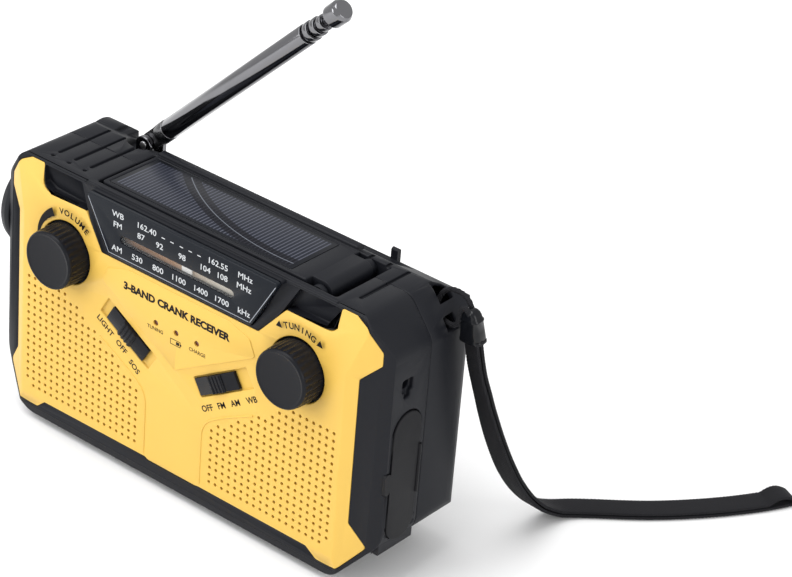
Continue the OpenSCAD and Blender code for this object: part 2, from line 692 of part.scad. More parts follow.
module charging_ports() color(metal) place() {
  difference() {
    box(62, half_w - 2.4, 10.7, 16.8, 22.1, 35.7);
    box(64, half_w, 11.4, 16.1, 22.8, 35);
  }
  box(64, half_w - 3.4, 12.4, 14, 23.4, 34.4);
  difference() {
    box(64, half_w - 2.4, 11.7, 15.8, 41.7, 51.1);
    box(66, half_w, 12.3, 15.2, 42.3, 50.5);
  }
}

module headphone_socket() color("#3d3f43") place() difference() {
  box(59, 69.5, 9.3, 16, 63.4, 71.4);
  rod_x(12.3, 67.9, 2.1, 60, 80);
}

// ---- the aerial ----

module aerial_place() {
  translate([aerial_x, aerial_y, aerial_z]) rotate([0, -aerial_tilt, 0]) children();
}

module aerial_base() color(metal) place() translate([aerial_x, aerial_y, 0]) difference() {
  union() {
    rod_z(0, 0, 4.4, groove_floor + 0.2, 85.3);
    rod_z(0, 0, 2.5, 77.4, groove_floor + 0.4);
    for (s = [-1, 1]) {
      rod_y(0, aerial_z, 2.9, s * 2.8 - 0.8, s * 2.8 + 0.8);
      box(-2.9, 2.9, s * 2.8 - 0.8, s * 2.8 + 0.8, 85, aerial_z);
    }
  }
  rod_y(0, aerial_z, 1.2, -5, 5);
}

module aerial_pin() color(metal) place() translate([aerial_x, aerial_y, 0])
  rod_y(0, aerial_z, 1.2, -3.8, 3.8);

module aerial_nut() color(metal) place() difference() {
  translate([aerial_x, aerial_y, 76.4]) cylinder(h = 2.2, r = 4.2, $fn = 6);
  rod_z(aerial_x, aerial_y, 2.5, 70, 80);
}

module aerial_knuckle() color("#55565a") place() aerial_place() difference() {
  union() {
    rod_y(0, 0, 2.8, -1.85, 1.85);
    box(0, 7, -1.85, 1.85, -2.8, 2.8);
    rod_x(0, 0, 3.3, 6, 10);
    rod_x(0, 0, 2.7, 10, 15);
  }
  rod_y(0, 0, 1.2 + running, -5, 5);
}

module hollow_tube(r, bore, x0, x1) {
  difference() {
    rod_x(0, 0, r, x0, x1);
    rod_x(0, 0, bore, x0 - 1, x1 + 1);
  }
}
// One telescopic stage: r is its outer radius, and its collar is a little wider
module stage(r, bore, x0, x1, collar) {
  hollow_tube(r, bore, x0, x1);
  hollow_tube(collar, r - 0.1, x1 - 1.8, x1);
}
module aerial_tube_1() color(metal) place() aerial_place() hollow_tube(tube_r, 2.75, 10, 80);
module aerial_tube_2() color(metal) place() aerial_place() stage(2.7, 2.3, 16, 83, 3.1);
module aerial_tube_3() color(metal) place() aerial_place() stage(2.25, 1.85, 16.5, 86, 2.9);
module aerial_tube_4() color(metal) place() aerial_place() stage(1.8, 1.4, 17, 88.6, 2.5);
module aerial_tube_5() color(metal) place() aerial_place() {
  rod_x(0, 0, 1.35, 17.5, 92);
  translate([91, 0, 0]) rotate([0, 90, 0]) rotate_extrude($fn = 64)
    polygon([[0, 0], [2.9, 0], [3.5, 0.8], [3.5, 5], [2.8, 6.2], [0, 6.2]]);
}

// ---- fasteners and feet ----

module feet() color("#1d1e20") place() for (s = [-1, 1], y = [9.5, 35])
  translate([s * 53.5, y, 0]) {
    hull() for (e = [-1, 1]) translate([e * 1.5, 0, 0]) cylinder(h = case_bottom, r = 2.4, $fn = 32);
  }

module case_screws() color(metal) place() for (p = screw_places) {
  rod_y(p[0], p[1], 1.4, 13, 38);
  difference() {
    rod_y(p[0], p[1], 2.8, 38, 40.2);
    box(p[0] - 2, p[0] + 2, 39.4, 41, p[1] - 0.35, p[1] + 0.35);
    box(p[0] - 0.35, p[0] + 0.35, 39.4, 41, p[1] - 2, p[1] + 2);
  }
}

// ---- the wrist strap ----

module strap_cord() color("#17181a") place()
  tube(smooth(cord_route, 3), strap_cord_d / 2, strap_cord_d / 2);

module strap_ferrule() color("#202226") place() translate([80, 32.4, 80.6]) rotate([8, -3, 0])
  hull() {
    translate([0, 0, 3.6]) rotate([90, 0, 0]) cylinder(h = 4.6, r = 2.5, center = true, $fn = 32);
    translate([-3.8, -2.5, -4.6]) cube([7.6, 5, 2]);
  }

module strap_webbing() color("#141517") place()
  tube(smooth(strap_route, 3), strap_w / 2, strap_t / 2);

front_shell();
rear_shell();
front_panel();
grille_cloth();
dial_window();
dial_lens();
dial_backing();
tuning_pointer();
pointer_guide();
indicator_pipes();
volume_knob();
volume_shaft();
volume_control();
tuning_knob();
tuning_shaft();
tuning_capacitor();
light_slider();
band_slider();
switch_bodies();
main_board();
speaker();
ferrite_aerial();
rechargeable_cell();
spare_cells();
cell_contacts();
battery_door();
generator();
generator_pinion();
crank_gear();
crank_arm();
grip_yoke();
crank_grip();
solar_frame();
solar_cell();
reading_lamp_board();
reading_lamp_lens();
hinge_pin();
torch_bezel();
torch_lens();
torch_reflector();
torch_led();
port_cover();
charging_ports();
headphone_socket();
aerial_base();
aerial_pin();
aerial_nut();
aerial_knuckle();
aerial_tube_1();
aerial_tube_2();
aerial_tube_3();
aerial_tube_4();
aerial_tube_5();
feet();
case_screws();
strap_cord();
strap_ferrule();
strap_webbing();
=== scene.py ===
"""Portable emergency radio: softened shells, finishes, printed legends, knobs and wrist strap."""

import json
import logging
import math
from collections.abc import Callable, Iterable, Sequence
from dataclasses import dataclass, field
from enum import Enum
from typing import Union

import bmesh
import bpy
from mathutils import Matrix, Vector

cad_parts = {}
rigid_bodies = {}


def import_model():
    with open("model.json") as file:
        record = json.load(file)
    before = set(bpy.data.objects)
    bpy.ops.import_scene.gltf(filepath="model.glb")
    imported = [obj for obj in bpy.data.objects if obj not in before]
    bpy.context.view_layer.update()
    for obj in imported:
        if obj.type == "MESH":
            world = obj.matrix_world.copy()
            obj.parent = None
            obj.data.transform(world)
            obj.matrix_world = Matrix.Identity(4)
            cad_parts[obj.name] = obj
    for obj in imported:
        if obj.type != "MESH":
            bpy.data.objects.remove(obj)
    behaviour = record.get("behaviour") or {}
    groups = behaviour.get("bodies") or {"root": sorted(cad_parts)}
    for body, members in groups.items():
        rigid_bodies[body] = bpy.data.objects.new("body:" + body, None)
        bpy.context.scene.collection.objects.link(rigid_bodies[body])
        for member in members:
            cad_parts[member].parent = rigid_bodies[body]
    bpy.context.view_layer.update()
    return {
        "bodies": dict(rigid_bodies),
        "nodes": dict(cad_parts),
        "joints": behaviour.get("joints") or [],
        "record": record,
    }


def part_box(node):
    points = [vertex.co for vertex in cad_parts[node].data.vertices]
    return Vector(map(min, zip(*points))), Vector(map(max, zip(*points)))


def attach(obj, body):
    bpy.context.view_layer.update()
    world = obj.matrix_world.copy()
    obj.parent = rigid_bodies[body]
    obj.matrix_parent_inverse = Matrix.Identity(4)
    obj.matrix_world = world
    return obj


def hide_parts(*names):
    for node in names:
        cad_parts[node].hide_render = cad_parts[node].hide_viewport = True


log = logging.getLogger("radio")

MM = 0.001
Point = Sequence[float]
Value = Union[float, "Sock"]

CASE_BLACK = (0.0078, 0.0085, 0.0115)
DIAL_BLACK = (0.008, 0.010, 0.014)
KNOB_BLACK = (0.0085, 0.009, 0.0115)
RUBBER_BLACK = (0.006, 0.006, 0.0075)
FERRULE_BLACK = (0.004, 0.0045, 0.006)
WEB_BLACK, WEB_LIGHT = (0.002, 0.002, 0.0025), (0.026, 0.026, 0.030)
CLOTH_BROWN, CLOTH_LIGHT = (0.055, 0.035, 0.02), (0.16, 0.105, 0.06)
PANEL_YELLOW = (0.66, 0.42, 0.078)


# ---- shader expressions ----


class Sock:
    """A value that varies over a surface, so that shader maths reads as Python."""

    def __init__(self, graph: "Graph", socket: bpy.types.NodeSocket) -> None:
        """Wrap one output socket of a graph."""
        self.graph = graph
        self.socket = socket

    def _math(self, operation: str, *values: Value) -> "Sock":
        """Add one Math node and return its result."""
        inputs = dict(enumerate(values))
        return self.graph.node("ShaderNodeMath", {"operation": operation}, inputs)

    def __add__(self, other: Value) -> "Sock":
        """Sum."""
        return self._math("ADD", self, other)

    __radd__ = __add__

    def __sub__(self, other: Value) -> "Sock":
        """Difference."""
        return self._math("SUBTRACT", self, other)

    def __mul__(self, other: Value) -> "Sock":
        """Product."""
        return self._math("MULTIPLY", self, other)

    __rmul__ = __mul__

    def __truediv__(self, other: Value) -> "Sock":
        """Quotient."""
        return self._math("DIVIDE", self, other)

    def __lt__(self, other: Value) -> "Sock":
        """1 where this is the smaller, else 0."""
        return self._math("LESS_THAN", self, other)

    def __abs__(self) -> "Sock":
        """Distance from zero."""
        return self._math("ABSOLUTE", self)

    def part(self) -> "Sock":
        """Fractional part."""
        return self._math("FRACT", self)

    def sine(self) -> "Sock":
        """Sine, in radians."""
        return self._math("SINE", self)

    def root(self) -> "Sock":
        """Square root."""
        return self._math("SQRT", self)

    def clamp(self) -> "Sock":
        """Kept between 0 and 1."""
        return self._math("MINIMUM", self._math("MAXIMUM", self, 0.0), 1.0)


class Graph:
    """The node tree of one material, with its Principled shader."""

    def __init__(self, name: str) -> None:
        """Start a material with a Principled shader and coordinates in millimetres.

        Args:
            name: The material's name.
        """
        self.material = bpy.data.materials.new(name)
        self.material.use_nodes = True
        self.tree = self.material.node_tree
        self.shader = self.tree.nodes["Principled BSDF"]
        place = self.tree.nodes.new("ShaderNodeTexCoord").outputs["Object"]
        self.place = self.node(
            "ShaderNodeVectorMath", {"operation": "SCALE"}, {0: place, "Scale": 1 / MM}
        )

    def node(self, kind: str, settings: dict, inputs: dict, output: str | int = 0) -> Sock:
        """Add a node.

        Args:
            kind: The node's type.
            settings: Its own settings, or a ramp's stops under "stops".
            inputs: Values or links, by the input's name or number.
            output: The output that is wanted, by name or number.

        Returns:
            The output, ready for maths.
        """
        made = self.tree.nodes.new(kind)
        for key, value in settings.items():
            if key == "stops":
                self._stops(made.color_ramp, value)
            else:
                setattr(made, key, value)
        for key, value in inputs.items():
            self._feed(made.inputs[key], value)
        return Sock(self, made.outputs[output])

    def _stops(self, ramp: bpy.types.ColorRamp, stops: Sequence[tuple]) -> None:
        """Set a ramp's stops.

        Args:
            ramp: The ramp.
            stops: Each stop's place and colour.
        """
        while len(ramp.elements) < len(stops):
            ramp.elements.new(0.5)
        for element, (place, colour) in zip(ramp.elements, stops):
            element.position = place
            element.color = (*colour, 1)

    def _feed(self, socket: bpy.types.NodeSocket, value: object) -> None:
        """Link or set one input.

        Args:
            socket: The input.
            value: A value, or a socket to link.
        """
        if isinstance(value, Sock):
            value = value.socket
        if isinstance(value, bpy.types.NodeSocket):
            self.tree.links.new(value, socket)
        elif isinstance(value, (tuple, list)) and socket.type == "RGBA":
            socket.default_value = (*value[:3], 1)
        else:
            socket.default_value = value

    def axes(self) -> tuple[Sock, Sock, Sock]:
        """The place on the surface.

        Returns:
            X, Y and Z in millimetres.
        """
        split = self.tree.nodes.new("ShaderNodeSeparateXYZ")
        self._feed(split.inputs[0], self.place)
        return tuple(Sock(self, o) for o in split.outputs)

    def noise(self, size: float, detail: float = 2.0, roughness: float = 0.5) -> Sock:
        """Soft noise from 0 to 1 whose lumps are about size millimetres across."""
        inputs = {"Vector": self.place, "Scale": 1 / size, "Detail": detail, "Roughness": roughness}
        return self.node("ShaderNodeTexNoise", {}, inputs)

    def mix(self, a: object, b: object, factor: Value) -> Sock:
        """Colour a where factor is 0, b where it is 1."""
        inputs = {"Factor": factor, 6: a, 7: b}
        return self.node("ShaderNodeMix", {"data_type": "RGBA"}, inputs, 2)

    def bump(self, height: Sock, depth: float) -> Sock:
        """A normal from a height of 0 to 1 that is depth millimetres deep."""
        inputs = {"Height": height, "Distance": depth * MM, "Strength": 1.0}
        return self.node("ShaderNodeBump", {}, inputs)

    def dress(self, **inputs: object) -> bpy.types.Material:
        """Set or feed the shader's sockets.

        Args:
            inputs: Values or links, by the socket's name with _ for a space.

        Returns:
            The material.
        """
        for key, value in inputs.items():
            self._feed(self.shader.inputs[key.replace("_", " ")], value)
        return self.material


def shade(colour: Point, amount: float) -> tuple:
    """A colour made lighter or darker."""
    return tuple(min(1.0, c * amount) for c in colour)


@dataclass(frozen=True)
class Moulded:
    """Moulded plastic or rubber, with the fine grain of its mould and soft unevenness."""

    name: str
    colour: Point
    roughness: float
    grain: float = 0.25
    grain_depth: float = 0.01
    uneven: float = 0.06
    specular: float = 0.5
    coat: float = 0.0

    def make(self) -> bpy.types.Material:
        """Build the material.

        Returns:
            The material.
        """
        g = Graph(self.name)
        patches = g.noise(14.0, 3.0)
        grain = g.noise(self.grain, 3.0, 0.6)
        dark, light = (shade(self.colour, 1 + u) for u in (-self.uneven, self.uneven))
        base = g.mix(dark, light, patches)
        rough = self.roughness + (patches - 0.5) * 0.08 + (grain - 0.5) * 0.06
        return g.dress(
            Base_Color=base,
            Roughness=rough,
            Normal=g.bump(grain, self.grain_depth),
            Specular_IOR_Level=self.specular,
            Coat_Weight=self.coat,
            Coat_Roughness=0.08,
        )


@dataclass(frozen=True)
class Metal:
    """Plated or turned metal, with fine smears."""

    name: str
    colour: Point
    roughness: float
    smear: float = 0.08

    def make(self) -> bpy.types.Material:
        """Build the material.

        Returns:
            The material.
        """
        g = Graph(self.name)
        smears = g.noise(5.0, 4.0, 0.6)
        base = g.mix(self.colour, shade(self.colour, 0.86), smears)
        return g.dress(
            Base_Color=base,
            Metallic=1.0,
            Roughness=self.roughness + (smears - 0.4) * self.smear,
            Normal=g.bump(g.noise(0.4, 2.0), 0.001),
        )


@dataclass(frozen=True)
class Clear:
    """Clear plastic: mostly open, with a glossy skin."""

    name: str
    colour: Point
    cover: float
    roughness: float = 0.06
    specular: float = 0.5

    def make(self) -> bpy.types.Material:
        """Build the material.

        Returns:
            The material.
        """
        g = Graph(self.name)
        haze = g.noise(6.0, 3.0)
        return g.dress(
            Base_Color=g.mix(self.colour, shade(self.colour, 0.9), haze),
            Roughness=self.roughness + haze * 0.04,
            Alpha=self.cover + (haze - 0.5) * 0.02,
            Specular_IOR_Level=self.specular,
        )


@dataclass(frozen=True)
class SolarGlass:
    """Dark solar film with fine conductors across it and a printed sweep along it."""

    name: str
    low: Vector
    high: Vector
    cells: int = 54
    sweep: tuple[float, float, float] = (27.0, 69.0, 76.6)

    def make(self) -> bpy.types.Material:
        """Build the material.

        Returns:
            The material.
        """
        g = Graph(self.name)
        x, y, _ = g.axes()
        across = (x - self.low.x / MM) * (self.cells / ((self.high.x - self.low.x) / MM))
        line = abs(across.part() - 0.5) < 0.13
        edge_x = (self.high.x - self.low.x) / 2 / MM - 1.6
        edge_y = (self.high.y - self.low.y) / 2 / MM - 1.2
        middle = (self.low + self.high) / 2 / MM
        inside = (abs(x - middle.x) < edge_x) * (abs(y - middle.y) < edge_y)
        dx = x - (middle.x + self.sweep[0])
        dy = y - (middle.y + self.sweep[1])
        reach = (dx * dx + dy * dy).root() - self.sweep[2]
        sweep = abs(reach) < 0.16
        band = (abs(reach) < 2.4) * 0.8
        cell = g.mix((0.008, 0.010, 0.017), (0.013, 0.015, 0.024), g.noise(9.0, 2.0))
        cell = g.mix(cell, (0.085, 0.090, 0.115), line * 0.9)
        cell = g.mix(cell, (0.003, 0.003, 0.005), band)
        base = g.mix(cell, (0.11, 0.12, 0.14), sweep)
        base = g.mix((0.006, 0.007, 0.010), base, inside)
        return g.dress(
            Base_Color=base,
            Roughness=0.30 + g.noise(4.0) * 0.06,
            Normal=g.bump(g.noise(2.2, 3.0), 0.002),
            Specular_IOR_Level=0.16,
        )


@dataclass(frozen=True)
class ScalePaper:
    """The printed card behind the dial's slot, brown at one end and warm white at the other, with a
    faint painted glow.
    """

    name: str
    low: Vector
    high: Vector

    def make(self) -> bpy.types.Material:
        """Build the material.

        Returns:
            The material.
        """
        g = Graph(self.name)
        x, _, _ = g.axes()
        along = (x - self.low.x / MM) / ((self.high.x - self.low.x) / MM)
        stops = (
            (0.0, (0.03, 0.02, 0.015)),
            (0.10, (0.16, 0.075, 0.03)),
            (0.42, (0.33, 0.17, 0.075)),
            (0.56, (0.45, 0.36, 0.27)),
            (0.80, (0.62, 0.58, 0.50)),
            (1.0, (0.50, 0.45, 0.38)),
        )
        base = g.node("ShaderNodeValToRGB", {"stops": stops}, {"Fac": along})
        fibre = g.noise(0.5, 4.0)
        return g.dress(
            Base_Color=g.mix(base, (0.2, 0.13, 0.08), fibre * 0.25),
            # Painted light: a faint glow in the card's own colour stands in for light that barely
            # reaches it in the recess behind the slot.
            Emission_Color=base,
            Emission_Strength=0.3,
            Roughness=0.6 + fibre * 0.1,
            Normal=g.bump(fibre, 0.01),
        )


@dataclass(frozen=True)
class Weave:
    """Woven or braided thread, crossing at a slant."""

    name: str
    colour: Point
    light: Point
    pitch: float
    depth: float

    def make(self) -> bpy.types.Material:
        """Build the material.

        Returns:
            The material.
        """
        g = Graph(self.name)
        x, y, z = g.axes()
        turn = math.tau / self.pitch
        one = ((x + z * 0.8 + y * 0.6) * turn).sine()
        two = ((x - z * 0.8 - y * 0.6) * turn).sine()
        thread = (one * two * 0.5 + 0.5).clamp()
        fuzz = g.noise(0.18, 3.0)
        return g.dress(
            Base_Color=g.mix(self.colour, self.light, (thread * 0.6 + fuzz * 0.4).clamp()),
            Roughness=0.72 + fuzz * 0.15,
            Normal=g.bump(thread + fuzz * 0.4, self.depth),
            Specular_IOR_Level=0.15,
        )


@dataclass(frozen=True)
class Printed:
    """Pad-printed ink, a little thin in places."""

    name: str
    colour: Point

    def make(self) -> bpy.types.Material:
        """Build the material.

        Returns:
            The material.
        """
        g = Graph(self.name)
        thin = g.noise(0.6, 3.0)
        return g.dress(
            Base_Color=g.mix(self.colour, shade(self.colour, 0.82), thin),
            Roughness=0.5 + thin * 0.12,
            Normal=g.bump(thin, 0.003),
            Specular_IOR_Level=0.1,
        )


@dataclass(frozen=True)
class Lamp:
    """The coloured window of a small lamp."""

    name: str
    colour: Point

    def make(self) -> bpy.types.Material:
        """Build the material.

        Returns:
            The material.
        """
        g = Graph(self.name)
        cloud = g.noise(0.8, 3.0)
        colour = g.mix(self.colour, shade(self.colour, 0.7), cloud)
        return g.dress(
            Base_Color=colour,
            Roughness=0.25 + cloud * 0.1,
            Coat_Weight=0.6,
        )


class Finishes:
    """Every finish of the radio, by the record's material slot."""

    def __init__(self) -> None:
        """Build the finishes."""
        cell_low, cell_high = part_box("solar_cell")
        card_low, card_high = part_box("dial_backing")
        made = (
            ("case", Moulded("case_plastic", CASE_BLACK, 0.46, 0.22, 0.010, specular=0.16)),
            ("panel", Moulded("panel_plastic", PANEL_YELLOW, 0.42, 0.35, 0.005, 0.03, 0.35)),
            ("cloth", Weave("grille_cloth", CLOTH_BROWN, CLOTH_LIGHT, 0.5, 0.05)),
            ("dial", Moulded("dial_plastic", DIAL_BLACK, 0.24, 0.5, 0.001, specular=0.13)),
            ("clear", Clear("clear_plastic", (0.75, 0.77, 0.78), 0.05, specular=0.2)),
            ("dial_paper", ScalePaper("dial_card", card_low, card_high)),
            ("white_plastic", Moulded("white_plastic", (0.86, 0.85, 0.82), 0.4)),
            ("steel", Metal("steel", (0.62, 0.62, 0.63), 0.3)),
            ("indicator", Lamp("lamp_window", (0.10, 0.012, 0.008))),
            ("knob", Moulded("knob_plastic", KNOB_BLACK, 0.24, 0.3, 0.002, specular=0.12)),
            ("board", Moulded("circuit_board", (0.02, 0.12, 0.05), 0.4, 0.8, 0.02)),
            ("ferrite", Moulded("ferrite", (0.05, 0.05, 0.055), 0.55)),
            ("cell", Moulded("cell_wrap", (0.04, 0.12, 0.36), 0.3, 1.5, 0.01, coat=0.4)),
            ("brass", Metal("contact_brass", (0.72, 0.52, 0.24), 0.28)),
            ("solar", SolarGlass("solar_film", cell_low, cell_high)),
            ("chrome", Metal("chrome", (0.20, 0.20, 0.21), 0.10, 0.04)),
            ("rubber", Moulded("rubber", RUBBER_BLACK, 0.5, 0.3, 0.012, specular=0.16)),
            ("webbing", Weave("webbing", WEB_BLACK, WEB_LIGHT, 0.9, 0.2)),
            ("ferrule", Moulded("ferrule_plastic", FERRULE_BLACK, 0.22, 0.4, 0.002, specular=0.25)),
            ("dark_steel", Metal("dark_steel", (0.16, 0.16, 0.165), 0.24)),
            ("white_ink", Printed("white_ink", (0.58, 0.60, 0.62))),
            ("black_ink", Printed("black_ink", (0.010, 0.009, 0.010))),
            ("grey_ink", Printed("grey_ink", (0.34, 0.36, 0.40))),
        )
        self.by_slot = {slot: finish.make() for slot, finish in made}

    def __getitem__(self, slot: str) -> bpy.types.Material:
        """The material of a slot."""
        return self.by_slot[slot]


# ---- mesh helpers ----


@dataclass
class Bench:
    """What every class works with: the frame, the finishes and the drawing's own axes."""

    frame: dict
    finishes: Finishes
    origin: Vector = field(init=False)
    slots: dict = field(init=False)
    home: dict = field(init=False)

    def __post_init__(self) -> None:
        """Find the drawing's origin, and each node's slot and body."""
        low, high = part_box("front_shell")
        self.origin = Vector(((low.x + high.x) / 2, low.y, 0))
        record = self.frame["record"]
        self.slots = {p["node"]: p["material_slot"] for p in record["subparts"]}
        groups = record["behaviour"]["bodies"].items()
        self.home = {node: body for body, nodes in groups for node in nodes}

    def at(self, x: float, y: float, z: float) -> Vector:
        """A point of the drawing, in millimetres, as a point of the row frame."""
        return self.origin + Vector((x, y, z)) * MM

    def on_drawing(self, point: Vector) -> Vector:
        """A point of the row frame, in the drawing's millimetres."""
        return (point - self.origin) / MM

    def piece(
        self, name: str, mesh: bpy.types.Mesh, slot: str, body: str, finish: str | None = None
    ) -> bpy.types.Object:
        """Put a finished mesh on a body.

        Args:
            name: The piece's name.
            mesh: Its mesh, in the row frame.
            slot: The record's slot that it belongs to.
            body: The body that carries it.
            finish: Its finish, where that isn't the slot's own.

        Returns:
            The new object.
        """
        mesh.name = name
        if not mesh.materials:
            mesh.materials.append(self.finishes[finish or slot])
        made = bpy.data.objects.new(name, mesh)
        bpy.context.scene.collection.objects.link(made)
        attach(made, body)
        log.info("%s on %s, %d faces", name, body, len(mesh.polygons))
        return made


def as_mesh(bm: bmesh.types.BMesh, name: str) -> bpy.types.Mesh:
    """Turn an edit mesh into a mesh, and free it.

    Args:
        bm: The edit mesh.
        name: The mesh's name.

    Returns:
        The mesh.
    """
    mesh = bpy.data.meshes.new(name)
    bm.to_mesh(mesh)
    bm.free()
    return mesh


def solid_copy(source: bpy.types.Object) -> bpy.types.Mesh:
    """The mesh that an object shows, modifiers included, as a mesh of its own.

    Args:
        source: The object.

    Returns:
        The new mesh.
    """
    graph = bpy.context.evaluated_depsgraph_get()
    graph.update()
    return bpy.data.meshes.new_from_object(source.evaluated_get(graph))


def smooth_by_angle(mesh: bpy.types.Mesh, angle: float) -> bpy.types.Mesh:
    """Shade smooth, except across sharp edges.

    Args:
        mesh: The mesh to change.
        angle: The angle in degrees above which an edge stays sharp.

    Returns:
        The same mesh.
    """
    mesh.polygons.foreach_set("use_smooth", [True] * len(mesh.polygons))
    mesh.set_sharp_from_angle(angle=math.radians(angle))
    mesh.update()
    return mesh


@dataclass(frozen=True)
class Softening:
    """How the edges of a moulding are rounded."""

    width: float
    steps: int
    angle: float = 24
    least_share: float = 0.35

    def apply(self, node: bpy.types.Object) -> bpy.types.Mesh:
        """Round the edges of a copy of a node's mesh.

        Args:
            node: The CAD node.

        Returns:
            The new mesh.
        """
        bm = bmesh.new()
        bm.from_mesh(node.data)
        bmesh.ops.remove_doubles(bm, verts=bm.verts, dist=0.002 * MM)
        flat = math.radians(0.6)
        bmesh.ops.dissolve_limit(bm, angle_limit=flat, verts=bm.verts, edges=bm.edges)
        weights = bm.edges.layers.float.new("bevel_weight_edge")
        room = {v: min((e.calc_length() for e in v.link_edges), default=0.0) for v in bm.verts}
        for e in bm.edges:
            if len(e.link_faces) != 2 or e.calc_face_angle(0) < math.radians(self.angle):
                continue
            spare = min(room[e.verts[0]], room[e.verts[1]]) / (2.2 * self.width * MM)
            if spare > self.least_share:
                e[weights] = min(1.0, spare)
        carrier = bpy.data.objects.new("softening", as_mesh(bm, node.name + "_soft"))
        bpy.context.scene.collection.objects.link(carrier)
        bevel = carrier.modifiers.new("edges", "BEVEL")
        bevel.width = self.width * MM
        bevel.segments = self.steps
        bevel.limit_method = "WEIGHT"
        bevel.use_clamp_overlap = False
        bevel.miter_outer = "MITER_ARC"
        done = solid_copy(carrier)
        bpy.data.objects.remove(carrier)
        return smooth_by_angle(done, 38)


def revolved(
    profile: Sequence[Point], wave: Callable[[float, int], float], steps: int
) -> bmesh.types.BMesh:
    """Turn a profile about the Y axis.

    Args:
        profile: Points of (radius, distance forwards), from the middle of the face outwards.
        wave: How much the radius grows at an angle, for a point of the profile.
        steps: How many steps go round.

    Returns:
        The closed solid, about the origin, in millimetres.
    """
    bm = bmesh.new()
    tip = bm.verts.new((0, -profile[0][1], 0))
    rings = []
    for index, (radius, out) in enumerate(profile[1:]):
        ring = []
        for k in range(steps):
            a = math.tau * k / steps
            r = radius + wave(a, index)
            ring.append(bm.verts.new((r * math.cos(a), -out, r * math.sin(a))))
        rings.append(ring)
    for k in range(steps):
        bm.faces.new((tip, rings[0][k], rings[0][(k + 1) % steps]))
    for inner, outer in zip(rings, rings[1:]):
        for k in range(steps):
            n = (k + 1) % steps
            bm.faces.new((inner[k], outer[k], outer[n], inner[n]))
    bm.faces.new(list(reversed(rings[-1])))
    bmesh.ops.recalc_face_normals(bm, faces=bm.faces)
    return bm


def spline(points: Sequence[Vector], per_step: int) -> list[Vector]:
    """A smooth curve through points.

    Args:
        points: The points.
        per_step: How many parts lie between each two.

    Returns:
        The curve's points.
    """
    last = len(points) - 1
    curve = []
    for i in range(last):
        a, b, c, d = (points[min(max(k, 0), last)] for k in range(i - 1, i + 3))
        for k in range(per_step):
            t = k / per_step
            square = (2 * a - 5 * b + 4 * c - d) * t**2
            cube = (3 * b - a - 3 * c + d) * t**3
            curve.append(0.5 * (2 * b + (c - a) * t + square + cube))
    return [*curve, points[last].copy()]


def even(points: Sequence[Vector], step: float) -> list[Vector]:
    """The same line with its points evenly spaced.

    Args:
        points: The line.
        step: The spacing.

    Returns:
        The new points.
    """
    out = [points[0].copy()]
    left = step
    for a, b in zip(points, points[1:]):
        gap = (b - a).length
        while gap >= left:
            a = a.lerp(b, left / gap)
            out.append(a.copy())
            gap = (b - a).length
            left = step
        left -= gap
    return out


def skin(bm: bmesh.types.BMesh, rings: Sequence[list]) -> None:
    """Close a row of rings into a solid.

    Args:
        bm: The edit mesh that holds them.
        rings: Each ring's vertices, all of one length.
    """
    for one, two in zip(rings, rings[1:]):
        for k in range(len(one)):
            n = (k + 1) % len(one)
            bm.faces.new((one[k], one[n], two[n], two[k]))
    bm.faces.new(rings[0])
    bm.faces.new(list(reversed(rings[-1])))
    bmesh.ops.recalc_face_normals(bm, faces=bm.faces)


def sweep(
    path: Sequence[Vector],
    outline: Callable[[int], Sequence[tuple]],
    sideways: Vector | None = None,
    upwards: Point = (0, 0, 1),
) -> bpy.types.Mesh:
    """A closed skin along a path.

    Args:
        path: The line that it follows.
        outline: For the number of a point, the section's points as (across, up), in metres.
        sideways: The direction of across where the line gives none.
        upwards: The direction that up leans towards.

    Returns:
        The mesh.
    """
    bm = bmesh.new()
    rings = []
    for i, p in enumerate(path):
        t = (path[min(i + 1, len(path) - 1)] - path[max(i - 1, 0)]).normalized()
        side = t.cross(Vector(upwards))
        side = side.normalized() if side.length > 0.05 else sideways
        up = side.cross(t)
        rings.append([bm.verts.new(p + side * a + up * b) for a, b in outline(i)])
    skin(bm, rings)
    return as_mesh(bm, "sweep")


def joined(meshes: Iterable[bpy.types.Mesh], name: str) -> bpy.types.Mesh:
    """Several meshes as one.

    Args:
        meshes: The meshes.
        name: The name of the result.

    Returns:
        The new mesh.
    """
    bm = bmesh.new()
    for mesh in meshes:
        bm.from_mesh(mesh)
    return as_mesh(bm, name)


# ---- camera, light and floor ----


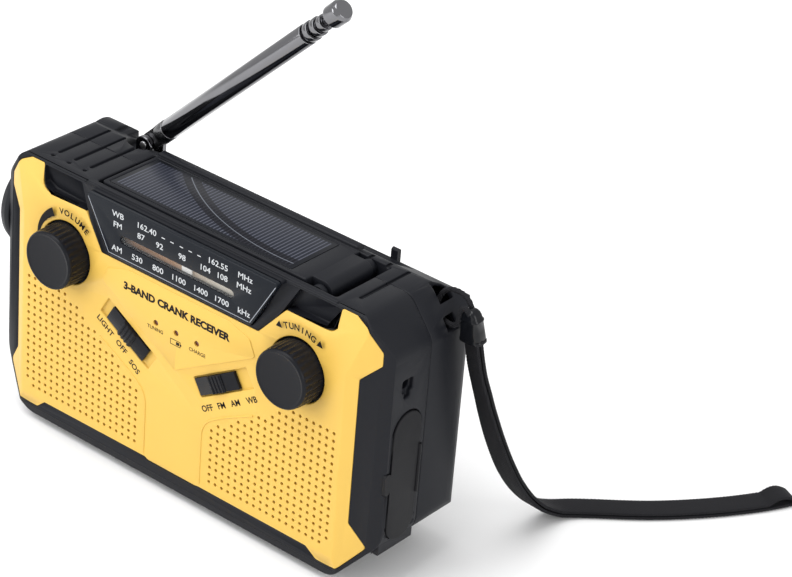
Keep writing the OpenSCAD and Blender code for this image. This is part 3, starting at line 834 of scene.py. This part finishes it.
@dataclass
class Studio:
    """The camera, the pale floor and soft light."""

    lens: float = 134.6
    azimuth: float = 37.28
    elevation: float = 29.67
    roll: float = 4.91
    place: tuple[float, float, float] = (0.4909, -0.5617, 0.4918)

    def camera(self) -> None:
        """Set up the camera."""
        data = bpy.data.cameras.new("camera")
        data.lens = self.lens
        data.sensor_width = 36
        camera = bpy.data.objects.new("camera", data)
        bpy.context.scene.collection.objects.link(camera)
        turn = (
            Matrix.Rotation(math.radians(self.azimuth), 4, "Z")
            @ Matrix.Rotation(math.radians(90 - self.elevation), 4, "X")
            @ Matrix.Rotation(math.radians(self.roll), 4, "Z")
        )
        camera.matrix_world = Matrix.Translation(self.place) @ turn
        bpy.context.scene.camera = camera
        log.info("camera in place")

    def floor(self) -> None:
        """Lay the pale floor."""
        bm = bmesh.new()
        bmesh.ops.create_grid(bm, x_segments=8, y_segments=8, size=3)
        mesh = as_mesh(bm, "floor")
        g = Graph("floor_paper")
        paper = g.mix((0.86, 0.86, 0.86), (0.90, 0.90, 0.90), g.noise(60.0, 2.0))
        mesh.materials.append(g.dress(Base_Color=paper, Roughness=0.85))
        floor = bpy.data.objects.new("floor", mesh)
        bpy.context.scene.collection.objects.link(floor)

    def lamp(self, name: str, place: Point, size: float, power: float) -> None:
        """Hang one soft lamp that faces the radio.

        Args:
            name: The lamp's name.
            place: Where it hangs.
            size: Its width.
            power: Its power in watts.
        """
        data = bpy.data.lights.new(name, "AREA")
        data.shape = "DISK"
        data.size = size
        data.energy = power
        lamp = bpy.data.objects.new(name, data)
        lamp.location = place
        towards = Vector((0, 0, 0.05)) - Vector(place)
        lamp.rotation_mode = "QUATERNION"
        lamp.rotation_quaternion = towards.to_track_quat("-Z", "Y")
        bpy.context.scene.collection.objects.link(lamp)

    def light(self) -> None:
        """Hang the lamps and set the surroundings."""
        self.lamp("lamp_above", (-0.25, -0.35, 1.35), 1.1, 13)
        self.lamp("lamp_front", (-0.7, -1.2, 0.6), 0.9, 9)
        self.lamp("lamp_right", (1.3, -0.1, 0.55), 0.8, 5)
        world = bpy.data.worlds.new("surroundings")
        world.use_nodes = True
        background = world.node_tree.nodes["Background"]
        background.inputs["Color"].default_value = (1, 1, 1, 1)
        background.inputs["Strength"].default_value = 0.85
        bpy.context.scene.world = world
        bpy.context.scene.view_settings.view_transform = "Standard"


# ---- the radio ----


@dataclass
class Housing:
    """The case and its mouldings: each row of soft names a node, a width and a step count."""

    bench: Bench
    soft: tuple = (
        ("front_shell", 0.55, 3), ("rear_shell", 0.5, 2), ("front_panel", 0.35, 2),
        ("dial_window", 0.18, 2), ("dial_lens", 0.1, 1), ("light_slider", 0.16, 2),
        ("band_slider", 0.16, 2), ("indicator_pipes", 0.12, 2), ("solar_frame", 0.45, 3),
        ("solar_cell", 0.12, 2), ("reading_lamp_lens", 0.2, 2), ("torch_bezel", 0.25, 2),
        ("torch_lens", 0.1, 1), ("torch_reflector", 0.1, 1), ("torch_led", 0.2, 2),
        ("port_cover", 0.3, 3), ("battery_door", 0.3, 2), ("crank_arm", 0.6, 3),
        ("crank_grip", 0.2, 2), ("grip_yoke", 0.2, 2), ("feet", 0.4, 3), ("hinge_pin", 0.2, 2),
        ("aerial_base", 0.2, 2), ("aerial_pin", 0.15, 2), ("aerial_knuckle", 0.25, 3),
        ("aerial_tube_1", 0.1, 2), ("aerial_tube_2", 0.14, 2), ("aerial_tube_3", 0.14, 2),
        ("aerial_tube_4", 0.14, 2), ("aerial_tube_5", 0.3, 3), ("case_screws", 0.15, 2),
    )

    def build(self) -> None:
        """Soften the mouldings and give every other node its finish."""
        for name, width, steps in self.soft:
            mesh = Softening(width, steps).apply(self.bench.frame["nodes"][name])
            mesh.materials.clear()
            slot, body = self.bench.slots[name], self.bench.home[name]
            made = self.bench.piece(name + "_part", mesh, slot, body)
            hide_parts(name)
        for name, node in self.bench.frame["nodes"].items():
            node.data.materials.clear()
            node.data.materials.append(self.bench.finishes[self.bench.slots[name]])


@dataclass
class Knob:
    """A control knob: flat face, rounded glossy rim and finely fluted side."""

    bench: Bench
    node: str
    body: str
    face: float = 8.1
    flutes: int = 30
    flute_depth: float = 0.3
    fluted: range = range(8, 11)
    steps: int = 360

    def build(self) -> None:
        """Turn the knob and put it on its shaft."""
        low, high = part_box(self.node)
        middle = (low + high) / 2
        radius = (high.x - low.x) / 2 / MM
        out = (high.y - low.y) / MM - 0.6
        face = self.face
        profile = [
            (0, out - 0.16),
            (face - 0.5, out - 0.16),
            (face - 0.1, out - 0.12),
            (face + 0.15, out - 0.02),
            (face + 0.4, out),
            (face + 0.7, out - 0.12),
            (face + 0.92, out - 0.4),
            (face + 1.0, out - 0.8),
            (face + 1.02, out - 1.2),
            (face + 1.16, out - 1.5),
            (radius - 0.1, 1.6),
            (radius - 0.05, 0.5),
            (radius - 0.05, -0.6),
        ]

        def wave(angle: float, index: int) -> float:
            """The flutes, which start below the rim."""
            depth = self.flute_depth if index in self.fluted else 0.0
            return -depth * (0.5 - 0.5 * math.cos(angle * self.flutes)) ** 1.3

        bm = revolved(profile, wave, self.steps)
        bmesh.ops.transform(
            bm,
            matrix=Matrix.Translation((middle.x, low.y + out * MM, middle.z)) @ Matrix.Scale(MM, 4),
            verts=bm.verts,
        )
        mesh = smooth_by_angle(as_mesh(bm, self.node), 50)
        made = self.bench.piece(self.node + "_part", mesh, "knob", self.body)
        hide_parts(self.node)


def slab(bench: Bench, x: Point, y: Point, z: Point, edge: float) -> bpy.types.Mesh:
    """A block with rounded edges.

    Args:
        bench: The bench, for the drawing's axes.
        x: Its two ends along X, in the drawing's millimetres.
        y: The same along Y.
        z: The same along Z.
        edge: How far its edges are rounded, in millimetres.

    Returns:
        The mesh.
    """
    bm = bmesh.new()
    bmesh.ops.create_cube(bm, size=1)
    low, high = bench.at(x[0], y[0], z[0]), bench.at(x[1], y[1], z[1])
    size = Matrix.Diagonal((*(high - low), 1))
    bmesh.ops.transform(bm, matrix=Matrix.Translation((low + high) / 2) @ size, verts=bm.verts)
    bmesh.ops.bevel(bm, geom=bm.edges, offset=edge * MM, segments=2, affect="EDGES")
    return as_mesh(bm, "slab")


@dataclass
class DialWorks:
    """The printed card behind the dial's slot, and the pointer that runs in front of it."""

    bench: Bench
    card_y: tuple[float, float] = (2.4, 2.9)
    card_z: tuple[float, float] = (75.8, 81.0)
    blade_y: tuple[float, float] = (1.5, 2.1)
    half_blade: float = 2.0
    arm_rise: float = 1.1
    card_gap: float = 0.2
    carriage_depth: float = 3.6
    carriage_drop: float = 2.9
    overlap: float = 0.2

    def build(self) -> None:
        """Put the card on the case and the pointer on its own body."""
        low, high = (self.bench.on_drawing(p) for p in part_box("dial_backing"))
        card = slab(self.bench, (low.x, high.x), self.card_y, self.card_z, 0.05)
        made = self.bench.piece("dial_card", card, "dial_paper", "case")
        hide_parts("dial_backing")
        low, high = (self.bench.on_drawing(p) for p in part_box("tuning_pointer"))
        middle = (low.x + high.x) / 2
        across = (middle - self.half_blade, middle + self.half_blade)
        arm_z = (low.z + self.arm_rise, self.card_z[0] - self.card_gap)
        front = high.y - self.carriage_depth
        carriage_z = (low.z, high.z - self.carriage_drop)
        parts = [
            slab(self.bench, across, self.blade_y, (arm_z[0], high.z), 0.1),
            slab(self.bench, across, (self.blade_y[0], front + self.overlap), arm_z, 0.1),
            slab(self.bench, (low.x, high.x), (front, high.y), carriage_z, 0.2),
        ]
        pointer = joined(parts, "pointer")
        made = self.bench.piece("pointer_blade", pointer, "white_plastic", "pointer")
        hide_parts("tuning_pointer")


@dataclass
class Ridges:
    """The low moulded lines on the front panel and the printed frame of the dial."""

    bench: Bench
    width: float = 0.55
    height: float = 0.28
    sides: int = 7
    sunk: float = 0.02

    def bead(
        self, points: Sequence[tuple], depth: float, width: float, height: float
    ) -> bpy.types.Mesh:
        """A low rounded bead on a front face.

        Args:
            points: The (x, z) points that it runs through.
            depth: The face's Y.
            width: The bead's width.
            height: The bead's height.

        Returns:
            The mesh.
        """
        path = even(spline([self.bench.at(x, depth, z) for x, z in points], 8), 0.4 * MM)
        turns = [math.pi * k / (self.sides - 1) for k in range(self.sides)]
        across = width / 2 * MM
        section = [
            (across * math.cos(a), (self.sunk - height * math.sin(a)) * MM) for a in turns
        ]
        return sweep(path, lambda i: section, upwards=(0, 1, 0))

    def build(self) -> None:
        """Lay the beads on both halves of the panel, and the line round the dial."""
        beads = []
        border = (
            (11.2, 10.8), (11.2, 18), (11.2, 26), (11.6, 30), (14, 33.6), (20.6, 37.8), (30.6, 43),
        )
        for s in (-1, 1):
            beads.append(self.bead([(s * x, z) for x, z in border], 0, self.width, self.height))
        mesh = smooth_by_angle(joined(beads, "panel_ridges"), 60)
        self.bench.piece("panel_ridges", mesh, "panel", "case")
        frame = [(-36.1, 87.4), (-27.4, 72.5), (27.4, 72.5), (36.1, 87.4)]
        lines = []
        for a, b in zip(frame, frame[1:]):
            ends = [tuple(p + (q - p) * t for p, q in zip(a, b)) for t in (0.0, 0.5, 1.0)]
            lines.append(self.bead(ends, -0.4, 0.3, 0.03))
        outline = joined(lines, "dial_line")
        self.bench.piece("dial_outline_print", outline, "dial", "case", "grey_ink")


class Ink(Enum):
    """The colours that the legends are printed in."""

    BLACK = "black_ink"
    WHITE = "white_ink"


@dataclass(frozen=True)
class Word:
    """One printed word: text, middle (x, z), cap height, turn in degrees, stretch and boldness."""

    text: str
    x: float
    z: float
    cap: float
    turn: float = 0.0
    stretch: float = 1.0
    weight: float = 0.012


@dataclass
class Legends:
    """The printed words and numbers of the front."""

    bench: Bench
    cap_share: float = 0.70
    thickness: float = 0.03

    def word(self, word: Word, depth: float) -> bpy.types.Mesh:
        """Cut one word as a thin mesh on the front face.

        Args:
            word: The word.
            depth: The face's Y.

        Returns:
            The mesh.
        """
        data = bpy.data.curves.new("word", "FONT")
        data.body = word.text
        data.size = word.cap / self.cap_share * MM
        data.align_x = "CENTER"
        data.align_y = "CENTER"
        data.extrude = self.thickness * MM / 2
        data.offset = word.cap * word.weight * MM
        data.resolution_u = 3
        carrier = bpy.data.objects.new("word", data)
        bpy.context.scene.collection.objects.link(carrier)
        mesh = solid_copy(carrier)
        bpy.data.objects.remove(carrier)
        place = (
            Matrix.Translation(self.bench.at(word.x, depth - self.thickness / 2, word.z))
            @ Matrix.Rotation(math.radians(-word.turn), 4, "Y")
            @ Matrix.Rotation(math.pi / 2, 4, "X")
            @ Matrix.Diagonal((word.stretch, 1, 1, 1))
        )
        mesh.transform(place)
        return mesh

    def arc(
        self, text: str, x: float, z: float, radius: float, start: float, step: float, cap: float
    ) -> list[Word]:
        """Set the letters of a name round a knob, clockwise.

        Args:
            text: The name.
            x: The knob's X.
            z: The knob's Z.
            radius: The circle's radius.
            start: The first letter's angle in degrees.
            step: The angle from one letter to the next.
            cap: The letters' height.

        Returns:
            One word for each letter.
        """
        words = []
        for i, letter in enumerate(text):
            a = math.radians(start - i * step)
            spot = (x + radius * math.cos(a), z + radius * math.sin(a))
            words.append(Word(letter, *spot, cap, math.degrees(a) - 90, 1.0, 0.035))
        return words

    def shape(self, points: Sequence[tuple], depth: float) -> bpy.types.Mesh:
        """A thin printed shape.

        Args:
            points: The (x, z) points of its outline.
            depth: The face's Y.

        Returns:
            The mesh.
        """
        bm = bmesh.new()
        face = bm.faces.new([bm.verts.new(self.bench.at(x, depth, z)) for x, z in points])
        grown = bmesh.ops.extrude_face_region(bm, geom=[face])
        moved = [v for v in grown["geom"] if isinstance(v, bmesh.types.BMVert)]
        bmesh.ops.translate(bm, verts=moved, vec=(0, -self.thickness * MM, 0))
        bmesh.ops.recalc_face_normals(bm, faces=bm.faces)
        return as_mesh(bm, "shape")

    def wedge(self, x: float, z: float, start: Point, end: Point) -> list[tuple]:
        """A crescent round a knob.

        Args:
            x: The knob's X.
            z: The knob's Z.
            start: The first angle in degrees, with the inner and the outer radius there.
            end: The same at the last angle.

        Returns:
            The outline's points.
        """
        steps = 24
        sides = ([], [])
        for i in range(steps + 1):
            turn, *radii = (p + (q - p) * i / steps for p, q in zip(start, end))
            a = math.radians(turn)
            for side, radius in zip(sides, radii):
                side.append((x + radius * math.cos(a), z + radius * math.sin(a)))
        return sides[1] + sides[0][::-1]

    def triangle(self, x: float, z: float, radius: float, turn: float, size: float) -> list[tuple]:
        """A small triangle beside a knob, which points away from the knob's name.

        Args:
            x: The knob's X.
            z: The knob's Z.
            radius: How far the triangle lies from the knob's middle.
            turn: Its angle round the knob in degrees.
            size: From its middle to a corner.

        Returns:
            The outline's points.
        """
        a = math.radians(turn)
        tip = math.radians(turn + (90 if turn > 90 else -90))
        mid = (x + radius * math.cos(a), z + radius * math.sin(a))
        return [
            (mid[0] + size * math.cos(tip + k), mid[1] + size * math.sin(tip + k))
            for k in (0.0, math.tau / 3, math.tau * 2 / 3)
        ]

    def battery(self, x: float, z: float) -> list[list[tuple]]:
        """A small battery sign: outline, stud and the filled half.

        Args:
            x: The middle's X.
            z: The middle's Z.

        Returns:
            The outlines of its bars.
        """
        w, h, t = 2.0, 0.95, 0.2
        stud, gap = 0.35, 0.45
        bars = (
            (-w, w, h - t, h), (-w, w, -h, t - h), (-w, t - w, t - h, h - t),
            (w - t, w, t - h, h - t), (w, w + stud, -stud, stud), (0.3, w - gap, gap - h, h - gap),
        )
        return [
            [(x + x0, z + z0), (x + x1, z + z0), (x + x1, z + z1), (x + x0, z + z1)]
            for x0, x1, z0, z1 in bars
        ]

    def lay(self, name: str, meshes: Sequence[bpy.types.Mesh], ink: Ink, slot: str) -> None:
        """Put printed shapes on the case as one piece."""
        self.bench.piece(name, joined(meshes, name), slot, "case", ink.value)

    def dial(self) -> None:
        """Print the three scales."""
        face, top = -0.4, 85.75
        cap, wide = 1.8, 1.12
        rows = (
            (top, (("WB", -24.1), ("162.40", -12.9), ("162.55", 14.6), ("MHz", 24.9))),
            (82.4, (("FM", -24.1), ("87", -14.9), ("92", -7.6), ("98", 1.1), ("104", 9.9),
                    ("108", 16.4), ("MHz", 24.6))),
            (74.7, (("AM", -24.1), ("530", -16.1), ("800", -7.9), ("1100", 0.1), ("1400", 8.6),
                    ("1700", 16.6), ("kHz", 25.1))),
        )
        words = [Word(text, x, z, cap, 0, wide) for z, row in rows for text, x in row]
        words += [Word("-", x, top, cap, 0, 1.9) for x in (-6.3, -2.9, 0.7, 4.1, 7.5)]
        self.lay("dial_scales", [self.word(w, face) for w in words], Ink.WHITE, "dial")

    def panel(self) -> None:
        """Print the control names, the lamp labels and the plain heading."""
        knob_x, knob_z = 45.2, 64.6
        flat = [
            *self.arc("VOLUME", -knob_x, knob_z, 13.2, 98, 9.4, 1.9),
            *self.arc("TUNING", knob_x, knob_z, 13.35, 111.6, 8.8, 1.9),
        ]
        positions = (
            ("LIGHT", -28.2, 47.2, -34), ("OFF", -21.5, 42.9, -34), ("SOS", -16.1, 38.4, -38),
            ("OFF", 13.1, 37.5, 31), ("FM", 18.4, 40.75, 31), ("AM", 23.6, 44.0, 31),
            ("WB", 29.6, 47.75, 31),
        )
        flat += [Word(text, x, z, 1.9, turn, 1, 0.03) for text, x, z, turn in positions]
        raised = [
            Word("3-BAND CRANK RECEIVER", -0.5, 64.1, 2.3, 0, 1.06, 0.07),
            Word("TUNING", -8.1, 54.9, 1.15),
            Word("CHARGE", 8.4, 54.25, 1.15),
        ]
        meshes = [self.word(w, 0) for w in flat] + [self.word(w, -0.3) for w in raised]
        meshes += [self.shape(bar, -0.3) for bar in self.battery(-0.1, 53.75)]
        shapes = [
            self.wedge(-knob_x, knob_z, (190, 10.7, 11.0), (114, 11.4, 14.1)),
            self.triangle(knob_x, knob_z, 13.8, 122.4, 1.35),
            self.triangle(knob_x, knob_z, 13.8, 57, 1.35),
        ]
        meshes += [self.shape(points, 0) for points in shapes]
        self.lay("panel_legends", meshes, Ink.BLACK, "panel")

    def build(self) -> None:
        """Print the dial and the panel."""
        self.dial()
        self.panel()


@dataclass
class WristStrap:
    """The thin cord through the eyelet, the ferrule and the doubled webbing."""

    bench: Bench
    cord_d: float = 1.6
    web_w: float = 7.4
    layer: float = 1.15
    cord_length: float = 0.039
    web_length: float = 0.164
    cord_route: tuple = (
        (79.6, 32.5, 84.4), (78.8, 32.6, 86.6), (77.2, 32.8, 88.2), (74.7, 33.1, 88.9),
        (71.6, 33.5, 88.5), (69, 33.6, 87.2), (67.6, 33.2, 85.1), (67.5, 32.4, 82.7),
        (68.9, 31.2, 80.6), (71.9, 30.7, 79.7), (74.6, 30.5, 79.7), (76.4, 30.3, 81.1),
        (76.9, 30.2, 83.6), (77.4, 30.1, 85.8), (78.6, 30.1, 86.7), (79.7, 30.3, 85.9),
        (80.1, 30.6, 84.4),
    )
    web_route: tuple = (
        (80.2, 32.9, 77.4), (81, 35, 67), (81.8, 37.4, 59), (82.6, 40.4, 50), (83.2, 44, 41),
        (83.6, 48.6, 31.6), (83.8, 54.2, 22.4), (84, 60.8, 14), (84.4, 68, 7.2), (85.6, 75.2, 3),
        (88.6, 81, 1.7), (93.4, 86, 1.5), (99.4, 91.4, 1.5), (105.6, 97.4, 1.5),
        (111.6, 104.2, 1.5), (117.4, 111.6, 1.5), (122.8, 119.4, 1.5), (127.6, 127.4, 1.5),
        (131.4, 134.6, 1.5),
    )

    def line(self, route: Sequence[Point], step: float) -> list[Vector]:
        """A route of the drawing as an even line in the row frame."""
        return even(spline([self.bench.at(*p) for p in route], 12), step * MM)

    def cord(self) -> tuple[bpy.types.Object, list[Vector]]:
        """Twist the thin cord.

        Returns:
            The piece and its path.
        """
        step, twist, sides = 0.22, 3.2, 14
        path = self.line(self.cord_route, step)

        def section(i: int) -> list[tuple]:
            """Two strands, turned on along the cord.

            Args:
                i: The number of the path's point.

            Returns:
                The section's points.
            """
            turn = i * step / twist * math.tau
            ring = []
            for k in range(sides):
                a = math.tau * k / sides
                r = self.cord_d / 2 * MM * (0.84 + 0.16 * abs(math.cos(a - turn)))
                ring.append((r * math.cos(a), r * math.sin(a)))
            return ring

        mesh = smooth_by_angle(sweep(path, section, Vector((0, 1, 0))), 70)
        made = self.bench.piece("strap_thin_cord", mesh, "webbing", "case")
        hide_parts("strap_cord")
        return made, path

    def ferrule(self) -> bpy.types.Object:
        """Mould the ferrule: flared foot, ridge and domed top.

        Returns:
            The piece.
        """
        width, depth, power, sides = 3.8, 2.5, 0.55, 40
        levels = (
            (-4.6, 0.90, 0.90), (-4.35, 1.0, 1.0), (-3.7, 1.0, 1.0), (-3.4, 0.93, 0.93),
            (-3.0, 0.95, 0.95), (-0.6, 0.87, 0.94), (2.4, 0.79, 0.90), (2.7, 0.85, 0.96),
            (3.1, 0.84, 0.95), (3.4, 0.74, 0.86), (4.4, 0.66, 0.82), (5.2, 0.54, 0.74),
            (5.8, 0.38, 0.56), (6.05, 0.2, 0.3),
        )
        bm = bmesh.new()
        rings = []
        for z, a, b in levels:
            ring = []
            for k in range(sides):
                t = math.tau * k / sides
                c, s = math.cos(t), math.sin(t)
                x = math.copysign(abs(c) ** power, c) * width * a
                y = math.copysign(abs(s) ** power, s) * depth * b
                ring.append(bm.verts.new((x * MM, y * MM, z * MM)))
            rings.append(ring)
        skin(bm, rings)
        turn = Matrix.Rotation(math.radians(-3), 4, "Y") @ Matrix.Rotation(math.radians(8), 4, "X")
        place = Matrix.Translation(self.bench.at(80, 32.4, 80.6)) @ turn
        bmesh.ops.transform(bm, matrix=place, verts=bm.verts)
        mesh = smooth_by_angle(as_mesh(bm, "ferrule"), 50)
        made = self.bench.piece("strap_ferrule_part", mesh, "ferrule", "case")
        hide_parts("strap_ferrule")
        return made

    def webbing(self) -> tuple[bpy.types.Object, list[Vector]]:
        """Lay the two layers of the braided band, which meet in a small loop.

        Returns:
            The piece and its path.
        """
        step, braid = 0.3, 1.1
        path = self.line(self.web_route, step)
        last = len(path) - 1
        loop = 9.0 / step
        flat = (
            (-1.0, 0.0), (-0.96, 0.72), (-0.7, 1.0), (-0.35, 1.06), (0.0, 1.0), (0.35, 1.06),
            (0.7, 1.0), (0.96, 0.72), (1.0, 0.0), (0.96, -0.72), (0.7, -1.0), (0.0, -1.0),
            (-0.7, -1.0), (-0.96, -0.72),
        )

        def layer(side: float) -> Callable[[int], list[tuple]]:
            """The outline of one layer.

            Args:
                side: 1 for the upper layer, -1 for the lower one.

            Returns:
                The function that gives its section.
            """

            def section(i: int) -> list[tuple]:
                """A flat braid with a fine zigzag edge.

                Args:
                    i: The number of the path's point.

                Returns:
                    The section's points.
                """
                near = max(0.0, 1 - (last - i) / loop)
                lift = 0.66 + (1.7 * math.sin(math.pi * near) if side > 0 else 0.0)
                if i == last:
                    lift = 0.35
                zigzag = 0.13 * math.sin(i * step / braid * math.tau + (1 if side > 0 else 2))
                half = (self.web_w / 2 + zigzag) * (1 - 0.1 * near)
                thick = self.layer / 2
                rise = side * lift
                return [(a * half * MM, (b * thick + rise) * MM) for a, b in flat]

            return section

        layers = [sweep(path, layer(side), Vector((1, 0, 0))) for side in (-1, 1)]
        mesh = smooth_by_angle(joined(layers, "webbing"), 60)
        made = self.bench.piece("strap_band", mesh, "webbing", "case")
        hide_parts("strap_webbing")
        return made, path

    def build(self) -> None:
        """Make the strap: the thin cord, the ferrule and the band."""
        cord, cord_path = self.cord()
        ferrule = self.ferrule()
        band, band_path = self.webbing()
        [tuple(p) for p in cord_path[::4]] + [tuple(cord_path[-1])]
        [tuple(p) for p in band_path[::8]] + [tuple(band_path[-1])]


def main() -> None:
    """Build the radio around the frame, piece by piece."""
    logging.basicConfig(level=logging.INFO, format="%(message)s")
    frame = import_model()
    studio = Studio()
    studio.camera()
    bench = Bench(frame, Finishes())
    WristStrap(bench).build()
    Housing(bench).build()
    Knob(bench, "volume_knob", "volume").build()
    Knob(bench, "tuning_knob", "tuning").build()
    DialWorks(bench).build()
    Ridges(bench).build()
    Legends(bench).build()
    studio.floor()
    studio.light()
    log.info("radio built")


if __name__ == "__main__":
    main()
